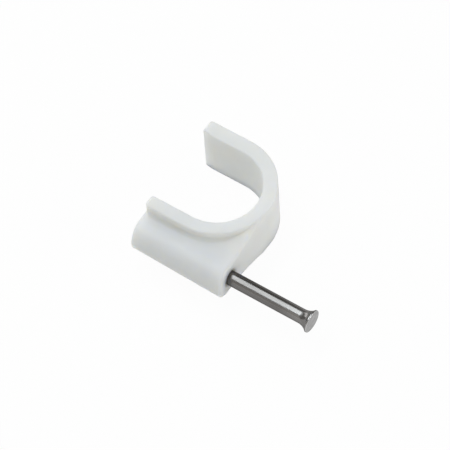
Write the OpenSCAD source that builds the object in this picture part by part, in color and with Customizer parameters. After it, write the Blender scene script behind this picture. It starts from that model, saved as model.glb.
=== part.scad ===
// Round cable clip with its nail.
// One moulded piece holds the cable against the wall, and one steel nail is ready in its boss.
// X runs along the nail from the wall to the head, Y from the nail to the free leg,
// and Z along the cable. The origin is where the nail's axis meets the wall.

/* [Cable seat] */
// Diameter of the round cable that the clip holds
cable_d = 14; // [10:0.5:18]
// Room all round the cable in its seat
seat_clear = 0.05; // [0:0.05:0.3]
// Room between the cable and the wall
wall_gap = 0.6; // [0.2:0.05:1.5]
// Width of the clip along the cable
clip_w = 9.8; // [9.4:0.1:14]
// Wall of the free leg
leg_wall = 2.45; // [1.6:0.05:3.4]
// Wall of the crown
crown_wall = 2.25; // [1.6:0.05:3.4]
// Wall of the lip that stands along the boss
lip_wall = 2.1; // [1.6:0.05:3]
// Rounding of the outer edges
edge_round = 0.2; // [0.2:0.05:0.6]
// Rounding of the edges round the seat
seat_round = 0.2; // [0.1:0.05:0.5]
// Rounding of the two leg ends on their outer sides
leg_round = 0.7; // [0.2:0.05:0.9]
// Rounding of the lip's end on its side to the seat
lip_round = 0.8; // [0.2:0.05:0.9]
// Rounding of all other edges at the wall
wall_round = 0.4; // [0.2:0.05:0.6]
// Length of the lead-in at the mouth of the seat
lead_len = 1.9; // [1:0.1:3]
// How far the lead-in opens the mouth, on the side of the free leg
lead_open = 0.25; // [0.05:0.05:0.5]

/* [Boss and web] */
// Distance from the nail's axis to the outer face of the lip
lip_stand = 1.65; // [1.5:0.05:2.4]
// Radius of the boss at the wall
boss_wall_r = 2.7; // [2.4:0.05:3.6]
// Radius of the boss at its outer end
boss_end_r = 3.1; // [2.8:0.05:4]
// Distance of the boss's axis in front of the nail's axis
boss_shift = 0.4; // [0:0.05:0.8]
// Slope by which both ends of the boss lean back in front of the nail
boss_lean = 0.11; // [0:0.01:0.15]
// Rounding of boss and web at the outer end
end_round = 0.55; // [0.2:0.05:0.9]
// How far the flat outer end lies below the top of the crown
end_drop = 0.03; // [0.03:0.01:0.3]
// Radius of the hollow in each side of the web
hollow_r = 22; // [18:0.5:34]
// Radius of the fillet in the crease between web and lip
crease_r = 0.9; // [0.3:0.05:1.1]

/* [Nail] */
// Diameter of the shank
nail_d = 2.4; // [1.8:0.1:2.8]
// Length from the point to the face of the head
nail_len = 31.4; // [24:0.1:45]
// Length of the point
point_len = 3; // [2:0.1:5]
// Depth of the point inside the boss
point_depth = 0.5; // [0:0.1:3]
// Diameter of the head
head_d = 3.8; // [3.2:0.05:4.6]
// Thickness of the head's rim
rim_t = 0.35; // [0.2:0.05:0.8]
// Rounding of the head's rim
rim_round = 0.12; // [0.05:0.01:0.17]
// Length of the flare from the shank to the rim
flare_len = 1.6; // [0.8:0.05:2.5]
// How much smaller than the head the flare ends, in radius
flare_step = 0.1; // [0.05:0.01:0.2]
// Clearance all round the shank where the boss grips it
grip_clear = 0.01; // [0.005:0.005:0.05]
// Diameter of the hole at the boss's outer end
mouth_d = 3.05; // [2.9:0.05:3.4]
// Length over which the hole widens to its mouth
mouth_len = 6; // [2:0.5:12]

/* [Hidden] */
$fn = 96;
// Reach of a cut past the face that it opens
past = 1;
// Depth to which the crease fillet's edges sink into lip and web, and depth of its root behind them
fillet_sink = 0.04;
fillet_root = 0.3;
// Distance that the fillet's sections keep from the ends of the faces beside it
fillet_clear = 0.2;
// Distance from the boss's axis at which the web starts, and how deep the boss reaches into the web
web_root = 0.1;
web_lap = 0.15;
// How far the web's sides lie below the boss's sides, so that they cross it
web_sink = 0.015;
// Distance that the rounding of boss and web keeps outside the faces that it crosses
trim_clear = 0.04;
// Angle between the fillet's sections round the arch, and the number of steps down its arc
fillet_turn = 4;
fillet_arcs = 6;
// Share of the fillet's radius that is left in the crease where it ends
fillet_left = 0.25;
// Angle over which the fillet dives into the crease there, and depth of the dive as a share of its radius
dive_turn = 24;
dive_sink = 0.5;

half_w = clip_w / 2;
seat_r = cable_d / 2 + seat_clear;
seat_x = cable_d / 2 + wall_gap;
seat_y = lip_stand + lip_wall + seat_r;
crown_x = seat_x + seat_r + crown_wall;
// The outer wall is one arc over both legs, so its centre lies beside the cable's axis
outer_r = seat_r + (leg_wall + lip_wall) / 2;
outer_x = crown_x - outer_r;
outer_y = seat_y + (leg_wall - lip_wall) / 2;
lip_y = outer_y - outer_r;
end_x = crown_x - end_drop;
side_half = half_w - edge_round;

shank_r = nail_d / 2;
head_r = head_d / 2;
head_x = point_depth + nail_len;
rim_x = head_x - rim_t;
flare_x = rim_x - flare_len;
flare_end_r = head_r - flare_step;
flare_rise = flare_end_r - shank_r;
// Radius of the arc that leaves the shank smoothly and reaches the flare's end
flare_arc = (flare_len * flare_len + flare_rise * flare_rise) / (2 * flare_rise);
grip_r = shank_r + grip_clear;

web_y = web_root - boss_shift;
waist_wall = boss_wall_r - web_sink;
waist_end = boss_end_r - web_sink;
// Length of the boss before its leaning ends are cut
boss_len = end_x + past;
// Rise of the boss's side from the wall to the outer end, along the nail
boss_rise = (boss_end_r - boss_wall_r) / end_x;
// Where the fillet ends: the crease at the outer end is only a share of the fillet's radius deep there
fade_high = hollow_r + waist_end - side_half + fillet_left * crease_r;
fade_y = sqrt(hollow_r * hollow_r - fade_high * fade_high) - boss_shift;
fade_turn = acos((outer_y - fade_y) / outer_r);

// Height of the web's hollow side above the point [x, y]
function web_z(point) = waist_wall + boss_rise * point[0]
    + hollow_r - sqrt(hollow_r * hollow_r - pow(point[1] + boss_shift, 2));
// Slope of the web's hollow side across the nail, at a distance y from its axis
function web_slope(y) = (y + boss_shift) / sqrt(hollow_r * hollow_r - pow(y + boss_shift, 2));

// A cut that rounds the corner at the origin of a shape in the third quadrant
module round_off(r) {
    difference() {
        translate([-r, -r]) square(r + past);
        translate([-r, -r]) circle(r);
    }
}

// Stands a drawing in Y and Z upright and draws it out along X
module along_x(length) {
    rotate([90, 0, 90]) linear_extrude(length) children();
}

// Section of the whole arch block across both legs, with rounded edges
module block_section() {
    difference() {
        translate([-outer_r, -half_w]) square([2 * outer_r, clip_w]);
        for (side = [0, 1])
            mirror([side, 0]) {
                translate([outer_r, half_w]) round_off(edge_round);
                translate([outer_r, -half_w]) rotate(-90) round_off(edge_round);
            }
    }
}

// Section of the seat's channel, opening out at both edges
module channel_section() {
    translate([-seat_r, -half_w - past]) square([2 * seat_r, clip_w + 2 * past]);
    for (side = [0, 1])
        mirror([side, 0]) {
            translate([seat_r, half_w]) rotate(90) round_off(seat_round);
            translate([seat_r, -half_w]) rotate(180) round_off(seat_round);
        }
}

// The half of a section right of its axis, turned through the half circle of the arch
module turned_half() {
    rotate([0, 0, -90]) rotate_extrude(angle = 180) intersection() {
        children();
        translate([0, -clip_w]) square([clip_w + outer_r, 2 * clip_w]);
    }
}

// Both legs and the arch, still solid between the legs
module arch_block() {
    difference() {
        translate([outer_x, outer_y, 0]) {
            turned_half() block_section();
            translate([-outer_x, 0, 0]) along_x(outer_x) block_section();
        }
        // The outer corners of both leg ends, seen along the cable
        translate([0, outer_y, -clip_w]) linear_extrude(2 * clip_w) {
            translate([0, outer_r]) rotate(90) round_off(leg_round);
            translate([0, -outer_r]) rotate(180) round_off(leg_round);
        }
        // The edges of both leg ends, across the wall
        translate([0, outer_y + outer_r + past, 0]) rotate([90, 0, 0]) linear_extrude(2 * (outer_r + past)) {
            translate([0, half_w]) rotate(90) round_off(wall_round);
            translate([0, -half_w]) rotate(180) round_off(wall_round);
        }
    }
}

// The space for the cable: a half round seat, its mouth, the lead-in and the lip's round corner
module cable_channel() {
    translate([seat_x, seat_y, 0]) {
        turned_half() channel_section();
        translate([-seat_x - past, 0, 0]) along_x(seat_x + past) channel_section();
    }
    translate([0, seat_y, -half_w - past]) linear_extrude(clip_w + 2 * past) {
        polygon([
            [-past, 0], [lead_len, 0], [lead_len, seat_r],
            [0, seat_r + lead_open], [-past, seat_r + lead_open]
        ]);
        translate([0, -seat_r]) rotate(90) round_off(lip_round);
    }
}

// The tool that trims and rounds both ends of the boss, still square to its axis
module boss_trim() {
    span = 2 * clip_w;
    for (x = [-span, end_x])
        translate([x, -span / 2, -span / 2]) cube(span);
    translate([0, -web_root, 0]) rotate([90, 0, 90]) rotate_extrude() {
        translate([boss_end_r + trim_clear, end_x]) round_off(end_round);
        translate([boss_wall_r + trim_clear, 0]) rotate(-90) round_off(wall_round);
    }
}

// The tapered boss round the nail: its two ends lean from the web on, and it reaches a little into the web
module boss() {
    translate([0, web_y, 0]) difference() {
        translate([0, -web_root, 0]) rotate([90, 0, 90])
            cylinder(r1 = boss_wall_r, r2 = boss_wall_r + boss_rise * boss_len, h = boss_len);
        multmatrix([[1, -boss_lean, 0], [0, 1, 0], [0, 0, 1]]) boss_trim();
        translate([-past, web_lap, -half_w]) cube([boss_len + 2 * past, half_w, clip_w]);
    }
}

// The tool that hollows one side of the web and rounds its two ends
module web_hollow() {
    rotate([90, 0, 90]) rotate_extrude($fn = 360) {
        translate([0, -past]) square([hollow_r, end_x + 2 * past]);
        translate([hollow_r, end_x + trim_clear]) rotate(90) round_off(end_round);
        translate([hollow_r, -trim_clear]) rotate(180) round_off(wall_round);
    }
}

// The web between boss and arch: its two hollow sides go on smoothly from the boss's sides
module web() {
    difference() {
        translate([0, web_y, -side_half]) cube([end_x, outer_y - web_y, 2 * side_half]);
        for (face = [0, 1])
            mirror([0, 0, face]) translate([0, -boss_shift, waist_wall])
                rotate([0, -atan(boss_rise), 0]) translate([0, 0, hollow_r]) web_hollow();
    }
}

// One section of the crease fillet: where it stands on the wall, and the wall's outward direction.
// The way along the wall is a length below zero on the straight lip, and an angle round the arch.
function crease_place(way) = way < 0
    ? [[outer_x + way, lip_y], [0, -1]]
    : [[outer_x + outer_r * sin(way), outer_y - outer_r * cos(way)], [sin(way), -cos(way)]];

// Points of one section, from the root in the lip down the arc to the root in the web
function crease_section(way, dive) = let (
        place = crease_place(way),
        foot = place[0],
        out = place[1],
        r = crease_r,
        edge = foot + r * out,
        slope = web_slope(edge[1]) * out[1],
        lean = sqrt(1 + slope * slope),
        sink = fillet_sink + dive * dive_sink * r,
        centre_z = web_z(edge) + r * lean - sink,
        sweep = 90 + atan(slope),
        arc = [for (i = [0:fillet_arcs])
            let (turn = sweep * i / fillet_arcs)
            [r - sink - r * cos(turn), centre_z - r * sin(turn)]],
        low = centre_z - r - fillet_root
    )
    [for (point = concat([[-fillet_root, low], [-fillet_root, centre_z]], arc, [[arc[fillet_arcs][0], low]]))
        [foot[0] + point[0] * out[0], foot[1] + point[0] * out[1], point[1]]];

// The concave fillet along the lip and round the arch, diving into the crease at both its ends
module crease_fillet() {
    first_turn = fillet_turn / 2;
    turns = ceil((fade_turn - first_turn) / fillet_turn);
    steps = concat(
        [[leg_round / 2 - outer_x, 1], [leg_round + fillet_clear - outer_x, 0], [-fillet_clear, 0]],
        [for (i = [0:turns])
            let (turn = first_turn + (fade_turn - first_turn) * i / turns)
            [turn, max(0, turn - fade_turn + dive_turn) / dive_turn]]
    );
    sections = [for (step = steps) crease_section(step[0], step[1])];
    count = len(sections[0]);
    last = len(steps) - 1;
    sides = [for (k = [0:last - 1], i = [0:count - 1])
        let (here = k * count + i, beside = k * count + (i + 1) % count)
        [here, here + count, beside + count, beside]];
    caps = [[for (i = [0:count - 1]) i], [for (i = [count - 1:-1:0]) last * count + i]];
    polyhedron([for (section = sections) each section], concat(sides, caps));
}

// The hole for the nail: it grips the shank and widens towards its mouth
module nail_hole() {
    rotate([0, 90, 0]) {
        translate([0, 0, -past]) cylinder(r = grip_r, h = end_x + 2 * past);
        translate([0, 0, end_x - mouth_len]) cylinder(r1 = grip_r, r2 = mouth_d / 2, h = mouth_len);
        translate([0, 0, end_x]) cylinder(r = mouth_d / 2, h = past);
    }
}

// The moulded clip in one piece: arch, lip, free leg, boss and web
module clip_body() {
    color("whitesmoke") difference() {
        union() {
            arch_block();
            boss();
            web();
            crease_fillet();
            mirror([0, 0, 1]) crease_fillet();
        }
        cable_channel();
        nail_hole();
    }
}

// The hardened nail: point, shank, flare under the head, and a flat head
module nail() {
    color("dimgray") rotate([90, 0, 90]) rotate_extrude() {
        polygon([
            [0, point_depth], [shank_r, point_depth + point_len], [shank_r, head_x], [0, head_x]
        ]);
        difference() {
            translate([0, flare_x]) square([flare_end_r, flare_len + rim_t]);
            translate([shank_r + flare_arc, flare_x]) circle(flare_arc);
        }
        difference() {
            translate([0, rim_x]) square([head_r, rim_t]);
            translate([head_r, head_x]) round_off(rim_round);
            translate([head_r, rim_x]) rotate(-90) round_off(rim_round);
        }
    }
}

clip_body();
nail();
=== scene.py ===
"""Looks of a nail-in cable clip: moulded white plastic, a drawn steel nail and a pale studio round them."""
import logging
from dataclasses import dataclass, field
from enum import Enum
from typing import Tuple

import bpy
from mathutils import Matrix, Vector


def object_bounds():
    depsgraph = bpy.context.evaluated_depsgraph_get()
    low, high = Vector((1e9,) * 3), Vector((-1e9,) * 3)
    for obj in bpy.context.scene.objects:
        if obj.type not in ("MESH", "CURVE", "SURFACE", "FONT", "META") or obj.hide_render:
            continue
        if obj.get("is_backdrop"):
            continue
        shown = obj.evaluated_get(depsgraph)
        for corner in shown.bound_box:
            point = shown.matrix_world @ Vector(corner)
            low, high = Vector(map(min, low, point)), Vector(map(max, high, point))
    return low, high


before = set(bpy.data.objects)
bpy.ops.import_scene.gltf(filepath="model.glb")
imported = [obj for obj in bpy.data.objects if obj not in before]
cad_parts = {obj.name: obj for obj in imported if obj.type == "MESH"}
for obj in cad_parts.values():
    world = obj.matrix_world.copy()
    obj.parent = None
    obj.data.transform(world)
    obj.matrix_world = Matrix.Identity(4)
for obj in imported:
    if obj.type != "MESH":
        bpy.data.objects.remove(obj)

log = logging.getLogger("cable_clip")

MM = 0.001
OPAQUE = 1.0
# Detail of the noise behind clouds and behind grain, its roughness, and the part of its range that is used
CLOUD_DETAIL = 2.0
GRAIN_DETAIL = 3.0
NOISE_ROUGHNESS = 0.55
NOISE_RANGE = (0.3, 0.7)
# Rays that find the neighbouring faces where an edge is shaded as rounded
EDGE_SAMPLES = 6
# A face whose normal rises more than this looks upwards
UPWARD = 0.5

Colour = Tuple[float, float, float]
Triple = Tuple[float, float, float]
Socket = bpy.types.NodeSocket
Tree = bpy.types.NodeTree


class GrainLay(Enum):
    """How a surface pattern lies along the part: the stretch of its coordinates in X, Y and Z."""

    EVEN = (1.0, 1.0, 1.0)
    LENGTHWISE = (0.06, 1.0, 1.0)


class LampPlace(Enum):
    """The studio lamps, by where they stand."""

    OVERHEAD = "overhead"
    NAIL_SIDE = "nail_side"
    WALL_SIDE = "wall_side"
    NEAR_SIDE = "near_side"


def solid(colour: Colour) -> Tuple[float, float, float, float]:
    """Gives a colour its full alpha."""
    return (*colour, OPAQUE)


def deselect_all() -> None:
    """Leaves object mode with nothing selected, so an operator acts only on what is picked next."""
    if bpy.context.object is not None and bpy.context.object.mode != "OBJECT":
        bpy.ops.object.mode_set(mode="OBJECT")
    bpy.ops.object.select_all(action="DESELECT")


def surface_tone_group() -> Tree:
    """Builds the shared node group that gives a surface its uneven tone and its fine relief.

    Returns:
        The group, with the inputs Vector, Cloud Size and Grain Size in metres, and the outputs
        Tone, from 0 to 1 over broad clouds, and Relief, from 0 to 1 over fine grain.
    """
    name = "surface_tone"
    if name in bpy.data.node_groups:
        return bpy.data.node_groups[name]
    group = bpy.data.node_groups.new(name, "ShaderNodeTree")
    group.interface.new_socket("Vector", in_out="INPUT", socket_type="NodeSocketVector")
    for label in ("Cloud Size", "Grain Size"):
        group.interface.new_socket(label, in_out="INPUT", socket_type="NodeSocketFloat")
    for label in ("Tone", "Relief"):
        group.interface.new_socket(label, in_out="OUTPUT", socket_type="NodeSocketFloat")
    nodes, links = group.nodes, group.links
    entry = nodes.new("NodeGroupInput")
    leave = nodes.new("NodeGroupOutput")
    rows = (("Cloud Size", CLOUD_DETAIL, "Tone"), ("Grain Size", GRAIN_DETAIL, "Relief"))
    for label, detail, target in rows:
        pitch = nodes.new("ShaderNodeMath")
        pitch.operation = "DIVIDE"
        pitch.inputs[0].default_value = 1.0
        links.new(entry.outputs[label], pitch.inputs[1])
        noise = nodes.new("ShaderNodeTexNoise")
        noise.inputs["Detail"].default_value = detail
        noise.inputs["Roughness"].default_value = NOISE_ROUGHNESS
        links.new(entry.outputs["Vector"], noise.inputs["Vector"])
        links.new(pitch.outputs[0], noise.inputs["Scale"])
        spread = nodes.new("ShaderNodeMapRange")
        spread.inputs["From Min"].default_value = NOISE_RANGE[0]
        spread.inputs["From Max"].default_value = NOISE_RANGE[1]
        links.new(noise.outputs["Fac"], spread.inputs["Value"])
        links.new(spread.outputs["Result"], leave.inputs[target])
    return group


@dataclass(frozen=True)
class SurfaceTone:
    """One use of the shared tone group: how large its clouds and grain are, and how they lie."""

    cloud: float
    grain: float
    lay: GrainLay = GrainLay.EVEN

    def place(self, tree: Tree) -> bpy.types.Node:
        """Puts the group into a material on Object coordinates.

        Args:
            tree: The material's node tree.

        Returns:
            The group node, with its Tone and Relief outputs free.
        """
        coords = tree.nodes.new("ShaderNodeTexCoord")
        mapping = tree.nodes.new("ShaderNodeMapping")
        mapping.inputs["Scale"].default_value = self.lay.value
        tone = tree.nodes.new("ShaderNodeGroup")
        tone.node_tree = surface_tone_group()
        tone.inputs["Cloud Size"].default_value = self.cloud
        tone.inputs["Grain Size"].default_value = self.grain
        tree.links.new(coords.outputs["Object"], mapping.inputs["Vector"])
        tree.links.new(mapping.outputs["Vector"], tone.inputs["Vector"])
        return tone


def two_tone(tree: Tree, mask: Socket, low: Colour, high: Colour) -> Socket:
    """Runs from one colour to another by a mask.

    Args:
        tree: The material's node tree.
        mask: The socket that runs from 0 for low to 1 for high.
        low: Colour where the mask is 0.
        high: Colour where the mask is 1.

    Returns:
        The colour's socket.
    """
    ramp = tree.nodes.new("ShaderNodeValToRGB")
    ramp.color_ramp.elements[0].color = solid(low)
    ramp.color_ramp.elements[1].color = solid(high)
    tree.links.new(mask, ramp.inputs["Fac"])
    return ramp.outputs["Color"]


def blend(tree: Tree, mask: Socket, low: Socket, high: Socket) -> Socket:
    """Blends two colour sockets by a mask.

    Args:
        tree: The material's node tree.
        mask: The socket that runs from 0 for low to 1 for high.
        low: Colour socket where the mask is 0.
        high: Colour socket where the mask is 1.

    Returns:
        The blended colour's socket.
    """
    mix = tree.nodes.new("ShaderNodeMix")
    mix.data_type = "RGBA"
    tree.links.new(mask, mix.inputs["Factor"])
    tree.links.new(low, mix.inputs["A"])
    tree.links.new(high, mix.inputs["B"])
    return mix.outputs["Result"]


def larger(tree: Tree, first: Socket, second: Socket) -> Socket:
    """Takes the larger of two values.

    Args:
        tree: The material's node tree.
        first: The first value's socket.
        second: The second value's socket.

    Returns:
        The larger value's socket.
    """
    node = tree.nodes.new("ShaderNodeMath")
    node.operation = "MAXIMUM"
    tree.links.new(first, node.inputs[0])
    tree.links.new(second, node.inputs[1])
    return node.outputs[0]


def spread_value(tree: Tree, mask: Socket, low: float, high: float) -> Socket:
    """Turns a mask into a value between two ends.

    Args:
        tree: The material's node tree.
        mask: The socket that runs from 0 to 1.
        low: Value where the mask is 0.
        high: Value where the mask is 1.

    Returns:
        The value's socket.
    """
    node = tree.nodes.new("ShaderNodeMapRange")
    node.inputs["To Min"].default_value = low
    node.inputs["To Max"].default_value = high
    tree.links.new(mask, node.inputs["Value"])
    return node.outputs["Result"]


def relief(tree: Tree, height: Socket, depth: float, strength: float, soft_edge: float = 0.0) -> Socket:
    """Makes a bump from a height.

    Args:
        tree: The material's node tree.
        height: The socket that runs from 0 to 1.
        depth: Depth of the relief in metres.
        strength: Share of the relief that shows.
        soft_edge: Radius in metres over which edges are shaded as rounded.

    Returns:
        The normal's socket.
    """
    bump = tree.nodes.new("ShaderNodeBump")
    if soft_edge > 0.0:
        edge = tree.nodes.new("ShaderNodeBevel")
        edge.samples = EDGE_SAMPLES
        edge.inputs["Radius"].default_value = soft_edge
        tree.links.new(edge.outputs["Normal"], bump.inputs["Normal"])
    bump.inputs["Distance"].default_value = depth
    bump.inputs["Strength"].default_value = strength
    tree.links.new(height, bump.inputs["Height"])
    return bump.outputs["Normal"]


def mask_along_x(tree: Tree, low: float, high: float) -> Socket:
    """Makes a mask that rises along the part's X axis.

    Args:
        tree: The material's node tree.
        low: Where the mask is still 0, in metres.
        high: Where the mask has reached 1, in metres.

    Returns:
        The mask's socket.
    """
    coords = tree.nodes.new("ShaderNodeTexCoord")
    split = tree.nodes.new("ShaderNodeSeparateXYZ")
    tree.links.new(coords.outputs["Object"], split.inputs["Vector"])
    rise = tree.nodes.new("ShaderNodeMapRange")
    rise.inputs["From Min"].default_value = low
    rise.inputs["From Max"].default_value = high
    tree.links.new(split.outputs["X"], rise.inputs["Value"])
    return rise.outputs["Result"]


def new_material(name: str) -> Tuple[bpy.types.Material, bpy.types.Node]:
    """Makes an empty material with one Principled shader.

    Args:
        name: The material's name.

    Returns:
        The material and its shader node.
    """
    material = bpy.data.materials.new(name)
    material.use_nodes = True
    return material, material.node_tree.nodes["Principled BSDF"]


@dataclass(frozen=True)
class MouldedPlastic:
    """The white moulded plastic of the clip: satin, with faint flow clouds and a fine mould grain."""

    name: str = "moulded_white_plastic"
    flow_low: Colour = (0.764, 0.772, 0.770)
    flow_high: Colour = (0.790, 0.798, 0.796)
    satin: Tuple[float, float] = (0.40, 0.50)
    grain_depth: float = 0.006 * MM
    grain_strength: float = 0.5
    soft_edge: float = 0.35 * MM
    tone: SurfaceTone = SurfaceTone(cloud=5.0 * MM, grain=0.16 * MM)
    refraction: float = 1.5
    glow: float = 1.0
    glow_depth: float = 3.8 * MM
    glow_reach: Triple = (1.0, 0.92, 0.75)

    def make(self) -> bpy.types.Material:
        """Builds the material.

        Returns:
            The material.
        """
        material, shader = new_material(self.name)
        tree = material.node_tree
        tone = self.tone.place(tree)
        flow = two_tone(tree, tone.outputs["Tone"], self.flow_low, self.flow_high)
        rough = spread_value(tree, tone.outputs["Relief"], *self.satin)
        grain = relief(tree, tone.outputs["Relief"], self.grain_depth, self.grain_strength, self.soft_edge)
        tree.links.new(flow, shader.inputs["Base Color"])
        tree.links.new(rough, shader.inputs["Roughness"])
        tree.links.new(grain, shader.inputs["Normal"])
        shader.inputs["IOR"].default_value = self.refraction
        shader.inputs["Subsurface Weight"].default_value = self.glow
        shader.inputs["Subsurface Radius"].default_value = self.glow_reach
        shader.inputs["Subsurface Scale"].default_value = self.glow_depth
        return material


@dataclass(frozen=True)
class DrawnSteel:
    """The nail's dark drawn steel: fine die lines, a paler collar under the head and a pale struck face.

    The two edges say how far from the head's end each paler part starts and where it has come in full.
    """

    name: str = "drawn_dark_steel"
    dark: Colour = (0.127, 0.119, 0.113)
    pale: Colour = (0.173, 0.168, 0.165)
    polish: Tuple[float, float] = (0.18, 0.26)
    line_depth: float = 0.002 * MM
    line_strength: float = 0.6
    tone: SurfaceTone = SurfaceTone(cloud=0.9 * MM, grain=0.22 * MM, lay=GrainLay.LENGTHWISE)
    metal: float = 1.0
    edge_tint: Colour = (0.45, 0.45, 0.45)
    collar_dark: Colour = (0.182, 0.174, 0.167)
    collar_pale: Colour = (0.246, 0.240, 0.236)
    collar_edge: Tuple[float, float] = (5.5 * MM, 2.0 * MM)
    face_dark: Colour = (0.470, 0.466, 0.464)
    face_pale: Colour = (0.634, 0.630, 0.628)
    face_edge: Tuple[float, float] = (0.12 * MM, 0.04 * MM)

    def make(self, head_end: float) -> bpy.types.Material:
        """Builds the material.

        Args:
            head_end: Where the head's face lies along X, in metres.

        Returns:
            The material.
        """
        material, shader = new_material(self.name)
        tree = material.node_tree
        tone = self.tone.place(tree)
        colour = two_tone(tree, tone.outputs["Tone"], self.dark, self.pale)
        collar = two_tone(tree, tone.outputs["Tone"], self.collar_dark, self.collar_pale)
        face = two_tone(tree, tone.outputs["Tone"], self.face_dark, self.face_pale)
        for over, (start, end) in ((collar, self.collar_edge), (face, self.face_edge)):
            colour = blend(tree, mask_along_x(tree, head_end - start, head_end - end), colour, over)
        rough = spread_value(tree, tone.outputs["Relief"], *self.polish)
        lines = relief(tree, tone.outputs["Relief"], self.line_depth, self.line_strength)
        tree.links.new(colour, shader.inputs["Base Color"])
        tree.links.new(rough, shader.inputs["Roughness"])
        tree.links.new(lines, shader.inputs["Normal"])
        shader.inputs["Metallic"].default_value = self.metal
        shader.inputs["Specular Tint"].default_value = solid(self.edge_tint)
        return material


@dataclass(frozen=True)
class PaleFloor:
    """The studio floor: white to the eye and to reflections, with the part's soft shadow left on it."""

    name: str = "pale_floor"
    colour: Colour = (0.92, 0.92, 0.90)
    roughness: float = 0.9
    gloss: float = 0.0
    white: float = 1.0
    shadow_share: float = 0.04

    def make(self) -> bpy.types.Material:
        """Builds the material.

        Returns:
            The material.
        """
        material, shader = new_material(self.name)
        tree = material.node_tree
        shader.inputs["Base Color"].default_value = solid(self.colour)
        shader.inputs["Roughness"].default_value = self.roughness
        shader.inputs["Specular IOR Level"].default_value = self.gloss
        white = tree.nodes.new("ShaderNodeEmission")
        white.inputs["Strength"].default_value = self.white
        path = tree.nodes.new("ShaderNodeLightPath")
        seen = path.outputs["Is Camera Ray"]
        for ray in ("Is Glossy Ray", "Is Transmission Ray"):
            seen = larger(tree, seen, path.outputs[ray])
        mix = tree.nodes.new("ShaderNodeMixShader")
        tree.links.new(spread_value(tree, seen, 0.0, 1.0 - self.shadow_share), mix.inputs["Fac"])
        tree.links.new(shader.outputs["BSDF"], mix.inputs[1])
        tree.links.new(white.outputs["Emission"], mix.inputs[2])
        tree.links.new(mix.outputs["Shader"], tree.nodes["Material Output"].inputs["Surface"])
        return material


@dataclass
class ClipBody:
    """The moulded clip: arch, lip, free leg, web and nail boss in one piece."""

    node: str = "clip_body"
    finish: MouldedPlastic = field(default_factory=MouldedPlastic)

    def build(self) -> bpy.types.Object:
        """Takes the moulding as it was constructed."""
        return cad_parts[self.node]

    def dress(self, piece: bpy.types.Object) -> None:
        """Gives the moulding its plastic.

        Args:
            piece: The moulding.
        """
        piece.data.materials.clear()
        piece.data.materials.append(self.finish.make())


@dataclass
class Nail:
    """The hardened nail that waits in the boss."""

    node: str = "nail"
    finish: DrawnSteel = field(default_factory=DrawnSteel)

    def build(self) -> bpy.types.Object:
        """Takes the nail as it was constructed."""
        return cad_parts[self.node]

    def dress(self, piece: bpy.types.Object) -> None:
        """Gives the nail its steel.

        Args:
            piece: The nail.
        """
        head_end = max(corner[0] for corner in piece.bound_box)
        piece.data.materials.clear()
        piece.data.materials.append(self.finish.make(head_end))


@dataclass(frozen=True)
class Lamp:
    """One soft area lamp: where it stands, its size in metres, its power and its colour."""

    place: LampPlace
    stand: Triple
    width: float
    depth: float
    watts: float
    colour: Colour

    def light(self, aim: Vector) -> None:
        """Sets the lamp up.

        Args:
            aim: The point that the lamp faces.
        """
        data = bpy.data.lights.new(self.place.value, "AREA")
        data.shape = "RECTANGLE"
        data.size = self.width
        data.size_y = self.depth
        data.energy = self.watts
        data.color = self.colour
        lamp = bpy.data.objects.new(self.place.value, data)
        bpy.context.scene.collection.objects.link(lamp)
        lamp.location = Vector(self.stand)
        lamp.rotation_mode = "QUATERNION"
        lamp.rotation_quaternion = (aim - lamp.location).to_track_quat("-Z", "Y")


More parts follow.
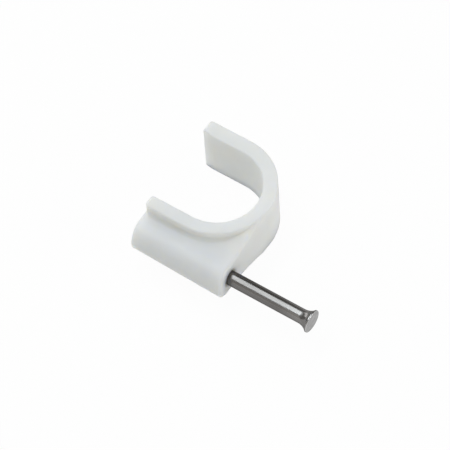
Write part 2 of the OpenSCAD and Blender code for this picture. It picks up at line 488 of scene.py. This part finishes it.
@dataclass
class Studio:
    """The pale floor with its low wall, the even room light and the soft lamps."""

    floor_radius: float = 1.5
    floor_sides: int = 96
    wall_height: float = 0.3
    floor_finish: PaleFloor = field(default_factory=PaleFloor)
    room: Colour = (1.0, 0.99, 0.95)
    room_strength: float = 0.33
    lamps: Tuple[Lamp, ...] = (
        Lamp(
            place=LampPlace.OVERHEAD,
            stand=(-0.125, 0.005, 0.400),
            width=0.47,
            depth=0.10,
            watts=0.78,
            colour=(0.89, 0.955, 1.0),
        ),
        Lamp(
            place=LampPlace.NAIL_SIDE,
            stand=(0.463, 0.071, 0.211),
            width=0.30,
            depth=0.20,
            watts=0.74,
            colour=(0.98, 0.985, 1.0),
        ),
        Lamp(
            place=LampPlace.WALL_SIDE,
            stand=(-0.412, 0.163, 0.211),
            width=0.40,
            depth=0.20,
            watts=0.54,
            colour=(0.96, 0.98, 1.0),
        ),
        Lamp(
            place=LampPlace.NEAR_SIDE,
            stand=(-0.108, -0.326, 0.188),
            width=0.12,
            depth=0.33,
            watts=0.08,
            colour=(1.0, 0.97, 0.94),
        ),
    )

    def build_floor(self, height: float) -> None:
        """Lays the floor under the part, with a low wall far round it.

        Args:
            height: The height of the part's lowest point.
        """
        deselect_all()
        bpy.ops.mesh.primitive_cylinder_add(
            vertices=self.floor_sides,
            radius=self.floor_radius,
            depth=self.wall_height,
            location=(0.0, 0.0, height + self.wall_height / 2),
        )
        floor = bpy.context.object
        floor.name = "studio_floor"
        bpy.ops.object.transform_apply(location=True, rotation=True, scale=True)
        # The top face is picked and deleted, which leaves an open dish
        bpy.ops.object.mode_set(mode="EDIT")
        bpy.ops.mesh.select_mode(type="FACE")
        bpy.ops.mesh.select_all(action="DESELECT")
        bpy.ops.object.mode_set(mode="OBJECT")
        for face in floor.data.polygons:
            face.select = face.normal.z > UPWARD
        bpy.ops.object.mode_set(mode="EDIT")
        bpy.ops.mesh.delete(type="FACE")
        bpy.ops.object.mode_set(mode="OBJECT")
        floor.data.materials.append(self.floor_finish.make())
        floor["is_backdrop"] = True

    def build_room(self) -> None:
        """Sets the even light of the room."""
        world = bpy.data.worlds.new("room")
        bpy.context.scene.world = world
        world.use_nodes = True
        even = world.node_tree.nodes["Background"]
        even.inputs["Color"].default_value = solid(self.room)
        even.inputs["Strength"].default_value = self.room_strength

    def build_lamps(self, aim: Vector) -> None:
        """Lights every lamp.

        Args:
            aim: The point that the lamps face.
        """
        for lamp in self.lamps:
            lamp.light(aim)
            log.info("lamp %s: %.2f W", lamp.place.value, lamp.watts)


@dataclass(frozen=True)
class PhotoCamera:
    """A long lens at the photograph's angle: it looks down on the clip from the nail's side."""

    target: Triple = (10.343 * MM, 8.232 * MM, -1.196 * MM)
    right: Triple = (0.8324, 0.5525, -0.0425)
    back: Triple = (0.3303, -0.4331, 0.8387)
    distance: float = 0.6
    field_width: float = 70.19 * MM
    sensor: float = 36.0
    near_clip: float = 0.01
    far_clip: float = 20.0

    def place(self) -> None:
        """Sets the camera up and makes it the scene's own."""
        data = bpy.data.cameras.new("photo_camera")
        data.sensor_width = self.sensor
        data.lens = self.sensor * self.distance / self.field_width
        data.clip_start = self.near_clip
        data.clip_end = self.far_clip
        camera = bpy.data.objects.new("photo_camera", data)
        bpy.context.scene.collection.objects.link(camera)
        back = Vector(self.back).normalized()
        up = back.cross(Vector(self.right)).normalized()
        right = up.cross(back)
        turn = Matrix((right, up, back)).transposed().to_4x4()
        camera.matrix_world = Matrix.Translation(Vector(self.target) + back * self.distance) @ turn
        bpy.context.scene.camera = camera


def main() -> None:
    """Builds the clip and its studio in order, from the box round the constructed parts."""
    logging.basicConfig(level=logging.INFO, format="%(name)s: %(message)s")
    cad_low, cad_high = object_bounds()
    PhotoCamera().place()
    for assembly in (ClipBody(), Nail()):
        piece = assembly.build()
        assembly.dress(piece)
        log.info("%s: %d faces, finish %s", assembly.node, len(piece.data.polygons), assembly.finish.name)
    studio = Studio()
    studio.build_floor(cad_low.z)
    studio.build_room()
    studio.build_lamps((cad_low + cad_high) / 2)
    bpy.context.scene.view_settings.view_transform = "Standard"


if __name__ == "__main__":
    main()
